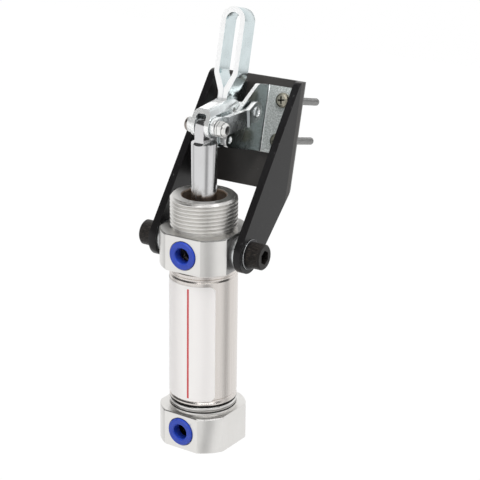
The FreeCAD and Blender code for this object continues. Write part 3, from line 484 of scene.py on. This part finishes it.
def cap_aluminium():
    f = Finish("cap_aluminium")
    x, y, z = f.along.split()
    radius_squared = x * x + y * y
    radius = radius_squared.math("SQRT", radius_squared)
    rings = f.join(radius * 5200.0, z * 5200.0, 0.0).noise(1.0, 2.0, 0.7)
    grain = f.along.stretched(900.0, 900.0, 5200.0).noise(1.0, 3.0, 0.6)
    flat = abs(x).larger(abs(y)) > CAP_FLAT
    marks = flat * grain + (1.0 - flat) * rings
    cloud = f.along.noise(120.0, 4.0, 0.6)
    bore = radius.step(*NOSE_BORE) * z.step(*NOSE_GREASE)
    grease = (bore * (0.55 + f.along.noise(300.0, 4.0, 0.7) * 0.6)).smaller(1.0)
    # painted reflection of the black arms on the flats beside them
    arm_reflection = (abs(x) > CAP_SIDE) * (z > CAP_SIDE_END)
    # painted shade on the upper rim, which is also made rougher
    rim = z.between(*CAP_RIM) * (radius > CAP_RIM_FROM_AXIS) * (1.0 - flat)
    colour = cloud.mix((0.74, 0.725, 0.70), (0.85, 0.84, 0.82))
    colour = shade_grooves(grease.mix(colour, (0.16, 0.085, 0.035)), z, radius)
    # the painted reflection of the arms, then the painted shade of the rim
    colour = (arm_reflection * 0.8).mix(colour, (0.22, 0.22, 0.22))
    colour = (rim * 0.85).mix(colour, (0.30, 0.30, 0.29))
    roughness = 0.24 + marks * 0.16 + cloud * 0.06 + bore * 0.12 + rim * 0.25
    return f.set(colour, roughness, 1.0 - bore * 0.35, f.bump(marks, 0.02 * MM, 0.6))


SLOT_FINISH["aluminium"] = cap_aluminium()

# %% [markdown]
# The barrel is a drawn stainless tube. Drawing leaves fine lines along it, so the noise is laid out by
# the angle round the tube and the height along it, with many more lines round than along. Plain noise
# would give blotches instead. The barrel's lowest rim is painted black as shade.

# %% Barrel
BARREL_SHADE_BELOW = -62.75 * MM


def barrel_steel():
    f = Finish("barrel_steel")
    x, y, z = f.along.split()
    turn = x.angle(y)
    lines = f.join(turn * 60.0, z * 30.0, 0.0).noise(1.0, 4.0, 0.6)
    fine = f.join(turn * 420.0, z * 90.0, 0.0).noise(1.0, 3.0, 0.6)
    steel = lines.mix((0.62, 0.575, 0.54), (0.78, 0.745, 0.715))
    # painted shade at the barrel's lowest rim
    colour = (z < BARREL_SHADE_BELOW).mix(steel, (0.025, 0.024, 0.022))
    roughness = 0.17 + fine * 0.12 + lines * 0.05
    return f.set(colour, roughness, 1.0, f.bump(fine, 0.008 * MM, 0.5))


SLOT_FINISH["stainless"] = barrel_steel()

# %% [markdown]
# The piston rod is hard chrome on ground steel: very smooth, with the finest of rings, and smeared with
# grease near the nose, where it slides in and out. A plain mirror would be simpler, but it would look
# too clean. So the rings stir the roughness a little, and the grease dulls it in smears along the rod.

# %% Piston rod
GREASE_NONE, GREASE_FULL = 41.0 * MM, 16.0 * MM


def rod_chrome():
    f = Finish("rod_chrome")
    z = f.along.split()[2]
    rings = f.join(0.0, 0.0, z * 3800.0).noise(1.0, 3.0, 0.7)
    smears = f.along.stretched(260.0, 260.0, 90.0).noise(1.0, 4.0, 0.65)
    grease = smears.step(0.48, 0.72) * z.step(GREASE_NONE, GREASE_FULL)
    colour = (grease * 0.35).mix((0.66, 0.66, 0.665), (0.30, 0.26, 0.21))
    roughness = 0.13 + rings * 0.10 + grease * 0.15
    return f.set(colour, roughness, 1.0, f.bump(rings, 0.01 * MM, 0.4))


SLOT_FINISH["chrome_rod"] = rod_chrome()

# %% [markdown]
# The spacer rings between the front cap and the arms are bright beside the arms and painted dark
# beside the cap, as painted shade in the narrow gap there. A spot of shadow from a lamp might do for
# that, but it would go when the light moves. So the colour itself changes with the distance from the
# middle.

# %% Trunnion spacers
SPACER_BRIGHT, SPACER_DARK = 16.9 * MM, 16.1 * MM


def spacer_zinc():
    f = Finish("spacer_zinc")
    # painted shade beside the cap
    cap_side_shade = abs(f.place.split()[0]).step(SPACER_BRIGHT, SPACER_DARK)
    cloud = f.place.noise(400.0)
    bright = cloud.mix((0.62, 0.64, 0.64), (0.85, 0.87, 0.87))
    colour = cap_side_shade.mix(bright, (0.12, 0.12, 0.12))
    metal = 1.0 - cap_side_shade * 0.4
    return f.set(colour, 0.25 + cloud * 0.15, metal, f.bump(cloud, PLATING_DEPTH, 0.5))


NODE_FINISH["trunnion_spacers"] = spacer_zinc()

# %% [markdown]
# The washers under the trunnion screws are zinc, but their faces are painted near black as shade,
# so only a thin bright rim shows. Face and rim meet at an edge, so a mask by place would have to be
# very exact. A mask by direction is simpler: a face looks along X, and the rim doesn't.

# %% Trunnion washers


def washer_zinc():
    f = Finish("washer_zinc")
    # painted shade: the faces are coloured near black, and the rim keeps the bright zinc
    face = abs(f.facing.split()[0]).step(0.75, 0.9)
    cloud = f.place.noise(500.0)
    black = cloud.mix((0.02, 0.02, 0.022), (0.05, 0.05, 0.055))
    colour = face.mix((0.78, 0.80, 0.81), black)
    roughness = 0.24 + face * 0.2 + cloud * 0.08
    return f.set(colour, roughness, 1.0 - face * 0.6, f.bump(cloud, PLATING_DEPTH, 0.5))


NODE_FINISH["trunnion_washers"] = washer_zinc()

# %% [markdown]
# The trunnion screws are black oxide, with a diamond knurl round their heads. Two families of slanted
# waves, multiplied, give the diamonds. A modelled knurl would be sharper at the outline, but the relief
# is only a quarter of a millimetre. Brown streaks show where the oxide has rubbed off the knurl.

# %% Black oxide
HEAD_RADIUS = 4.9 * MM
HEAD_FROM, HEAD_TO = 21.8 * MM, 26.6 * MM
KNURL_TURNS, KNURL_WAVES = 24.0, 5600.0


def black_oxide():
    f = Finish("black_oxide")
    x, y, z = f.along.split()
    radius_squared = y * y + z * z
    radius = radius_squared.math("SQRT", radius_squared)
    turn = y.angle(z)
    rising = turn * KNURL_TURNS + x * KNURL_WAVES
    falling = turn * KNURL_TURNS - x * KNURL_WAVES
    head_side = (radius > HEAD_RADIUS) * abs(x).between(HEAD_FROM, HEAD_TO)
    knurl = rising.math("SINE", rising) * falling.math("SINE", falling) * head_side
    cloud = f.along.noise(500.0)
    streaks = f.join(turn * 26.0, x * 420.0, 0.0).noise(1.0, 2.0).step(0.50, 0.72)
    black = cloud.mix((0.007, 0.0062, 0.0058), (0.021, 0.0185, 0.017))
    colour = (streaks * head_side * 0.7).mix(black, (0.085, 0.068, 0.056))
    relief = f.bump(knurl * 0.5 + 0.5 + cloud * 0.05, 0.22 * MM, 0.9)
    return f.set(colour, 0.30 + cloud * 0.2, 0.35, relief, specular=0.3)


SLOT_FINISH["black_oxide"] = black_oxide()

# %% [markdown]
# The release rings are glossy blue plastic. Seals and bumpers are rubber, the wear ring is pale
# plastic, and the rod's bush is sintered bronze with fine pores. Each could have a function of its
# own, but moulded surfaces differ only in colour, gloss and grain, so one function makes them all.

# %% Plastic, rubber and bronze


def moulded(name, painted_shade, light, rough=0.34, grain=700.0):
    f = Finish(name)
    cloud = f.place.noise(grain)
    return f.set(cloud.mix(painted_shade, light), rough + cloud * 0.16, 0.0, f.bump(cloud, 0.03 * MM, 0.5))


def bronze():
    f = Finish("bronze")
    pores = f.place.noise(1800.0, 2.0)
    colour = pores.mix((0.34, 0.20, 0.09), (0.55, 0.36, 0.18))
    return f.set(colour, 0.35 + pores * 0.2, 1.0, f.bump(pores, 0.03 * MM, 0.5))


SLOT_FINISH["blue_plastic"] = moulded("blue_plastic", (0.012, 0.040, 0.34), (0.018, 0.060, 0.46))
SLOT_FINISH["rubber"] = moulded("rubber", (0.010, 0.010, 0.011), (0.028, 0.027, 0.026), 0.55, 900.0)
SLOT_FINISH["wear_plastic"] = moulded("wear_plastic", (0.62, 0.60, 0.54), (0.76, 0.74, 0.68), 0.45)
SLOT_FINISH["bronze"] = bronze()

# %% [markdown]
# The label is silver foil with rounded corners and one thin red line down its length. The CAD piece is
# a plain curved sheet with square corners. The corners could be cut in the mesh, but on foil this thin
# it looks the same to make them clear by Alpha. The line is coloured between two angles round the
# barrel, which keeps it straight along the rod.

# %% Label
LABEL_FROM, LABEL_TO = radians(-76.0), radians(52.0)
LABEL_TOP, LABEL_END = -12.7 * MM, -61.0 * MM
LABEL_RADIUS = 13.4 * MM
LABEL_CORNER = 2.5 * MM
LINE_FROM, LINE_TO = radians(3.9), radians(7.2)
LINE_TOP, LINE_END = -14.0 * MM, -60.0 * MM


def past_corner(distance, half):
    """How far a place lies out from where the label's rounded corner begins."""
    return (distance - half + LABEL_CORNER).larger(0.0)


def label_foil():
    f = Finish("label_foil")
    x, y, z = f.along.split()
    turn = x.angle(0.0 - y)
    grain = f.join(turn * 40.0, z * 4200.0, 0.0).noise(1.0, 3.0, 0.6)
    across = abs(turn - (LABEL_FROM + LABEL_TO) / 2) * LABEL_RADIUS
    upward = abs(z - (LABEL_TOP + LABEL_END) / 2)
    out_x = past_corner(across, (LABEL_TO - LABEL_FROM) / 2 * LABEL_RADIUS)
    out_z = past_corner(upward, (LABEL_TOP - LABEL_END) / 2)
    inside = out_x * out_x + out_z * out_z < LABEL_CORNER * LABEL_CORNER
    line = turn.between(LINE_FROM, LINE_TO) * z.between(LINE_END, LINE_TOP)
    foil = grain.mix((0.82, 0.795, 0.78), (0.91, 0.885, 0.87))
    colour = line.mix(foil, (0.55, 0.03, 0.04))
    relief = f.bump(grain, 0.008 * MM, 0.4)
    return f.set(colour, 0.34 + grain * 0.14, 0.30 - line * 0.25, relief, alpha=inside)


SLOT_FINISH["label_foil"] = label_foil()

# %% [markdown]
# Every node now takes its own finish, if it has one, and otherwise the finish of its slot. Nodes could
# be dressed one by one, but the record already says which slot each belongs to, so a loop is enough.

# %% Dress the nodes
slots = {part["node"]: part["material_slot"] for part in frame["record"]["subparts"]}
for name, obj in nodes.items():
    obj.data.materials.clear()
    obj.data.materials.append(NODE_FINISH.get(name, SLOT_FINISH[slots[name]]))
print("dressed", len(nodes), "nodes,", len(NODE_FINISH), "of them with a finish of their own")

# %% [markdown]
# Real edges are never perfectly sharp. Sheet metal and machined pieces get a small bevel, which catches
# a thin line of light. It could be a rounding in the CAD model, with many more faces to pack. A
# modifier does it here and leaves the mesh as it is. The weld before it joins the doubled points of
# the CAD mesh, because a bevel only works where faces share their edge.

# %% Round the edges
EDGE = {"bracket": 0.45, "web_right": 0.22, "web_left": 0.22, "clamp_arm": 0.30, "yoke": 0.22,
        "link_right": 0.22, "link_left": 0.22, "rear_cap": 0.12, "trunnion_washers": 0.10,
        "link_bolt": 0.10, "link_nut": 0.10, "piston_rod": 0.12}
SHARP = radians(32)
WELD_DISTANCE = 0.001 * MM


def weld_points(obj):
    weld = obj.modifiers.new("weld", "WELD")
    weld.merge_threshold = WELD_DISTANCE


def round_edges(obj, width):
    weld_points(obj)
    bevel = obj.modifiers.new("edges", "BEVEL")
    bevel.width = width
    bevel.segments = 2
    bevel.limit_method = "ANGLE"
    bevel.angle_limit = SHARP
    bevel.harden_normals = True


for name, width in EDGE.items():
    round_edges(nodes[name], width * MM)
print("rounded the edges of", len(EDGE), "nodes")

# %% [markdown]
# The nose carries a fine screw thread of 1.5 mm pitch, and light runs over it in bright and dark rings.
# Relief in the material would stay flat at the outline, so this thread is cut for real. The cutter is a
# long closed coil with a V-shaped section: its point reaches down to the root of the thread, and its
# two other corners lie outside the nose.

# %% Coil for the thread
COIL_STEPS = 64


def coil(name, pitch, root, crest, half, start, end):
    """Closed V-section coil about the cylinder's axis, measured in mm and placed in the clamp's frame."""
    count = int((end - start) / pitch * COIL_STEPS)
    points = []
    faces = []
    for k in range(count + 1):
        turn = 2 * pi * k / COIL_STEPS
        z = start + pitch * k / COIL_STEPS
        for r, dz in ((root, 0.0), (crest, half), (crest, -half)):
            p = Vector((r * cos(turn), r * sin(turn), z + dz)) * MM
            points.append(UP_ROD @ p + TRUNNION)
    for k in range(count):
        a = 3 * k
        for i in range(3):
            j = (i + 1) % 3
            faces.append((a + i, a + j, a + 3 + j, a + 3 + i))
    faces.append((2, 1, 0))
    faces.append((3 * count, 3 * count + 1, 3 * count + 2))
    mesh = bpy.data.meshes.new(name)
    mesh.from_pydata([tuple(p) for p in points], [], faces)
    mesh.validate()
    obj = bpy.data.objects.new(name, mesh)
    bpy.context.scene.collection.objects.link(obj)
    return obj


thread_cut = coil("thread_cut", pitch=1.5, root=12.3, crest=13.35, half=0.68, start=8.6, end=20.9)
thread_cut.hide_render = True
thread_cut.hide_viewport = True
print("the cutter has", len(thread_cut.data.polygons), "faces")

# %% [markdown]
# A Boolean modifier takes the coil out of the front cap. Its fast solver could do it in less time, but
# the exact one copes better with faces that meet at shallow angles, as where the coil runs out of the
# nose. Splitting the sharp edges afterwards keeps the flanks crisp and the round parts smooth.

# %% Cut the nose thread
THREAD_SHARP = radians(30)

cap = nodes["front_cap"]
weld_points(cap)
cut = cap.modifiers.new("thread", "BOOLEAN")
cut.object = thread_cut
cut.operation = "DIFFERENCE"
cut.solver = "EXACT"
split = cap.modifiers.new("sharp", "EDGE_SPLIT")
split.split_angle = THREAD_SHARP
print("cut the nose thread with", len(cap.modifiers), "modifiers")

# %% [markdown]
# Polished metal shows what stands round it more than its own colour. In an even white room the rod and
# the barrel would look flat, so the studio has darker stretches, such as the gaps between the panels of
# a photo studio, and they show as dark bands along the cylinder. Lamps and black cards could stand
# there too, but then they would have to be hidden from the camera. A formula of direction is simpler,
# and the floor and the world can share it.

# %% The studio's darker stretches
# the middle and half the width of each stretch in degrees, and how much darker it is
GAPS = ((45.0, 26.0, 0.62), (118.0, 20.0, 0.50), (-85.0, 26.0, 0.45))


def studio_gaps(x, y):
    """How bright the studio is in the direction of x and y: less than 1 in its darker stretches."""
    turn = x.angle(0.0 - y)
    bright = 1.0
    for middle, half_width, depth in GAPS:
        off = abs(turn - radians(middle))
        bright = bright - off.step(radians(half_width), 0.0) * depth
    return bright


print("the studio has", len(GAPS), "darker stretches")

# %% [markdown]
# A large pale floor lies well below the hanging clamp. It could be lit to white, but that much light
# would bleach the metal. So the camera sees a white glow mixed over the paper, and mirrors see the
# glow with its darker stretches, while for soft light the floor is plain pale paper. A Light Path
# node tells these kinds of rays apart.

# %% Floor
FLOOR_SIZE, FLOOR_DROP = 60.0, 0.25
WHITE, NO_LIGHT, PALE = (1, 1, 1), (0, 0, 0), (0.86, 0.86, 0.86)
PAPER_ROUGHNESS = 0.8
GLOW = 1.03
GLOW_SEEN, GLOW_MIRRORED = 0.96, 0.95

lowest = first_bounds[0][2]
bpy.ops.mesh.primitive_plane_add(size=FLOOR_SIZE, location=(0, 0, lowest - FLOOR_DROP))
floor = bpy.context.object
floor.name = "floor"
paper = bpy.data.materials.new("paper")
paper.use_nodes = True
tree = Nodes(paper.node_tree)
base = paper.node_tree.nodes["Principled BSDF"]
tree.plug(PALE, base.inputs["Base Color"])
tree.plug(PAPER_ROUGHNESS, base.inputs["Roughness"])
seen = tree.add("LightPath", {}, "Is Camera Ray")
mirrored = tree.add("LightPath", {}, "Is Glossy Ray")
x, y = tree.add("TexCoord", {}, "Object").split()[:2]
bright = seen + (1.0 - seen) * studio_gaps(x, y)
glow = tree.add("Emission", {"Color": bright.mix(NO_LIGHT, WHITE), "Strength": GLOW})
share = (seen * GLOW_SEEN).larger(mirrored * GLOW_MIRRORED)
blend = tree.add("MixShader", {0: share, 1: Value(tree, base.outputs[0]), 2: glow})
tree.plug(blend, paper.node_tree.nodes["Material Output"].inputs[0])
floor.data.materials.append(paper)
print("the floor lies", FLOOR_DROP, "m below the clamp")

# %% [markdown]
# The world is the rest of the studio. To the camera it is white. To mirrors it is a white sweep that
# rises high behind the clamp and ends low in front of it, with the same darker stretches, and a dim
# room above. An image of a real studio could stand in for it, but a few steps of height give the same
# bands, and each can be moved alone. For soft light the world is an even grey.

# %% World
BEHIND = (-0.15, 0.15)
SWEEP_TOP_BEHIND, SWEEP_TOP_IN_FRONT = (0.985, 0.90), (0.24, 0.06)
SWEEP_LIGHT, ROOM_LIGHT, SOFT_LIGHT = 0.95, 0.06, 0.5

world = bpy.data.worlds.new("studio")
bpy.context.scene.world = world
world.use_nodes = True
tree = Nodes(world.node_tree)
back = world.node_tree.nodes["Background"]
tree.plug(WHITE, back.inputs["Color"])
seen = tree.add("LightPath", {}, "Is Camera Ray")
mirrored = tree.add("LightPath", {}, "Is Glossy Ray")
clear = tree.add("LightPath", {}, "Is Transmission Ray")
x, y, height = tree.add("TexCoord", {}, "Generated").split()
behind = y.step(*BEHIND)
sweep = behind * height.step(*SWEEP_TOP_BEHIND) + (1.0 - behind) * height.step(*SWEEP_TOP_IN_FRONT)
room = ROOM_LIGHT + sweep * studio_gaps(x, y) * SWEEP_LIGHT
direct = seen.larger(clear)
ambient = SOFT_LIGHT * (1.0 - mirrored) + room * mirrored
tree.plug(direct + (1.0 - direct) * ambient, back.inputs["Strength"])
print("the world has", len(world.node_tree.nodes), "nodes")

# %% [markdown]
# Light comes from big soft panels. The key hangs high above the camera, the fill to the left of it,
# and one panel right overhead. In polished rims a small strong panel would show as burnt white spots,
# so mirrors don't see these three. They could do without any lamp, but then the rims would look dull.
# They see the sheen instead, a larger and weaker panel at the key's place that gives no soft light.

# %% Lamps
AIM = Vector((0.0, -0.03, -0.04))
KEY_PLACE = (0.32, -0.52, 0.66)


def panel(name, position, side, power):
    """A square panel that is turned to the clamp and that the camera doesn't see."""
    light = bpy.data.lights.new(name, "AREA")
    light.shape = "SQUARE"
    light.size = side
    light.energy = power
    obj = bpy.data.objects.new(name, light)
    bpy.context.scene.collection.objects.link(obj)
    obj.location = position
    obj.rotation_mode = "QUATERNION"
    obj.rotation_quaternion = (AIM - Vector(position)).to_track_quat("-Z", "Y")
    obj.visible_camera = False
    return obj


key = panel("key", KEY_PLACE, 0.5, 7.0)
fill = panel("fill", (-0.55, -0.45, 0.45), 0.4, 1.5)
top = panel("top", (0.0, 0.05, 0.85), 0.7, 5.0)
sheen = panel("sheen", KEY_PLACE, 0.8, 6.0)
for lamp in (key, fill, top):
    lamp.visible_glossy = False
sheen.visible_diffuse = False
print("lit by", ", ".join(lamp.name for lamp in (key, fill, top, sheen)))

# %% [markdown]
# The camera takes the reference picture's view. It could be set by eye, but its direction, distance
# and lens come from a fit: known sizes, such as the rod and the screw heads, were matched to where
# they lie in the picture. The fit was made with the rod upright, so its result is tilted into the
# clamp's frame. The trunnion lies a little off the picture's middle. The camera's place is moved for
# that, which leaves its shift at nought.

# %% Camera
AZIMUTH, ELEVATION, ROLL = radians(30.73), radians(19.95), radians(-0.79)
DISTANCE, LENS, TILT = 0.650, 125.83, radians(14.15)
FOCAL_PIXELS, MIDDLE_PIXEL = 1677.67, 240
TRUNNION_ACROSS, TRUNNION_DOWN = 203.84, 244.32

camera_data = bpy.data.cameras.new("camera")
camera = bpy.data.objects.new("camera", camera_data)
bpy.context.scene.collection.objects.link(camera)
bpy.context.scene.camera = camera
camera_data.lens = LENS
camera_data.clip_start = 0.05
camera_data.clip_end = 50.0
backward = Vector((sin(AZIMUTH) * cos(ELEVATION), -cos(AZIMUTH) * cos(ELEVATION), sin(ELEVATION)))
level = Vector((cos(AZIMUTH), sin(AZIMUTH), 0))
upright = backward.cross(level)
right = level * cos(ROLL) - upright * sin(ROLL)
up = level * sin(ROLL) + upright * cos(ROLL)
u = (TRUNNION_ACROSS - MIDDLE_PIXEL) / FOCAL_PIXELS
v = (MIDDLE_PIXEL - TRUNNION_DOWN) / FOCAL_PIXELS
eye = (right * u + up * v - backward) * -DISTANCE
tilt = Matrix.Rotation(TILT, 3, "X")
axes = Matrix((tilt @ right, tilt @ up, tilt @ backward)).transposed()
camera.matrix_world = Matrix.Translation(TRUNNION + tilt @ eye) @ axes.to_4x4()
bpy.context.scene.view_settings.view_transform = "Standard"
print("camera at", [round(c, 3) for c in camera.location])

# %% [markdown]
# Bevels and the thread may take a hair off the pieces, but nothing may reach past the CAD model.

# %% The end
print("the scene is dressed and lit")
